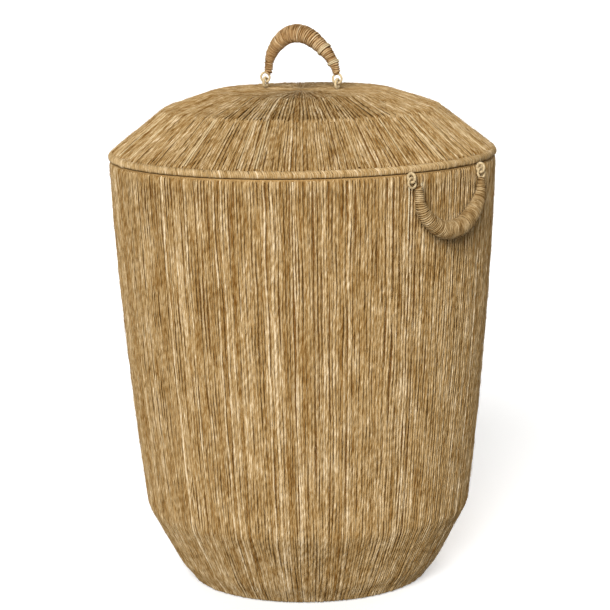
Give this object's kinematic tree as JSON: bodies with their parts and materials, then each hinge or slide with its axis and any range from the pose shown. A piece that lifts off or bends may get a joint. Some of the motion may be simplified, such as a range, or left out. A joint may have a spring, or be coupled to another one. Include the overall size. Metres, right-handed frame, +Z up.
{
  "type": "laundry basket",
  "caption": "Tall round laundry basket wound with natural jute yarn, with a domed lift-off lid and wrapped rope handles on the lid and sides.",
  "frame": {"origin": "centre of the underside, on the floor", "axes": "+Z up, +X towards the right side handle; the left one is at -X and Y runs front to back"},
  "size_m": [0.4884, 0.4492, 0.6522],
  "materials": {
    "wound_jute": "dry twisted jute yarn, wound side by side",
    "inner_jute": "dry twisted jute yarn, a shade darker",
    "handle_jute": "jute yarn wrapped tight round a rope",
    "pale_cord": "pale twisted cotton cord",
    "rope_core": "laid rope, hidden in the wrap",
    "steel_wire": "dull black lacquer on steel wire"
  },
  "bodies": {
    "basket": {"rim_ring": "steel_wire", "upper_hoop": "steel_wire", "waist_hoop": "steel_wire", "shoulder_hoop": "steel_wire", "foot_hoop": "steel_wire", "base_ring": "steel_wire", "wall_rib_1": "steel_wire", "wall_rib_2": "steel_wire", "wall_rib_3": "steel_wire", "wall_rib_4": "steel_wire", "wall_rib_5": "steel_wire", "wall_rib_6": "steel_wire", "wall_rib_7": "steel_wire", "wall_rib_8": "steel_wire", "base_cross_wire_lower": "steel_wire", "base_cross_wire_upper": "steel_wire", "wall_weave_outer": "wound_jute", "wall_weave_inner": "inner_jute", "base_weave_outer": "wound_jute", "base_weave_inner": "inner_jute", "wall_loop_right_a": "pale_cord", "wall_loop_right_b": "pale_cord", "wall_loop_left_a": "pale_cord", "wall_loop_left_b": "pale_cord"},
    "lid": {"lid_rim_ring": "steel_wire", "lid_mid_ring": "steel_wire", "lid_inner_ring": "steel_wire", "lid_hub_plate": "steel_wire", "lid_rib_1": "steel_wire", "lid_rib_2": "steel_wire", "lid_rib_3": "steel_wire", "lid_rib_4": "steel_wire", "lid_rib_5": "steel_wire", "lid_rib_6": "steel_wire", "lid_rib_7": "steel_wire", "lid_rib_8": "steel_wire", "lid_weave_top": "wound_jute", "lid_weave_under": "inner_jute", "lid_locating_band": "inner_jute", "lid_loop_a": "pale_cord", "lid_loop_b": "pale_cord"},
    "lid_handle": {"lid_handle_core": "rope_core", "lid_handle_wrap": "handle_jute", "lid_handle_eye_a": "pale_cord", "lid_handle_eye_b": "pale_cord", "lid_handle_tie_1": "pale_cord", "lid_handle_tie_2": "pale_cord"},
    "side_handle_right": {"side_handle_right_core": "rope_core", "side_handle_right_wrap": "handle_jute", "side_handle_right_eye_a": "pale_cord", "side_handle_right_eye_b": "pale_cord"},
    "side_handle_left": {"side_handle_left_core": "rope_core", "side_handle_left_wrap": "handle_jute", "side_handle_left_eye_a": "pale_cord", "side_handle_left_eye_b": "pale_cord"}
  },
  "joints": [
    {"name": "lid_lift", "type": "slide", "parent": "basket", "child": "lid", "axis": [0, 0, 1], "range_m": [0, 0.3]},
    {"name": "lid_handle_tilt", "type": "hinge", "parent": "lid", "child": "lid_handle", "pos_m": [0, 0, 0.5844], "axis": [0.9397, 0.342, 0], "range_deg": [-84, 84]},
    {"name": "side_handle_right_swing", "type": "hinge", "parent": "basket", "child": "side_handle_right", "pos_m": [0.2244, 0, 0.4965], "axis": [0, -1, 0], "range_deg": [0, 155]},
    {"name": "side_handle_left_swing", "type": "hinge", "parent": "basket", "child": "side_handle_left", "pos_m": [-0.2244, 0, 0.4965], "axis": [0, 1, 0], "range_deg": [0, 155]}
  ]
}
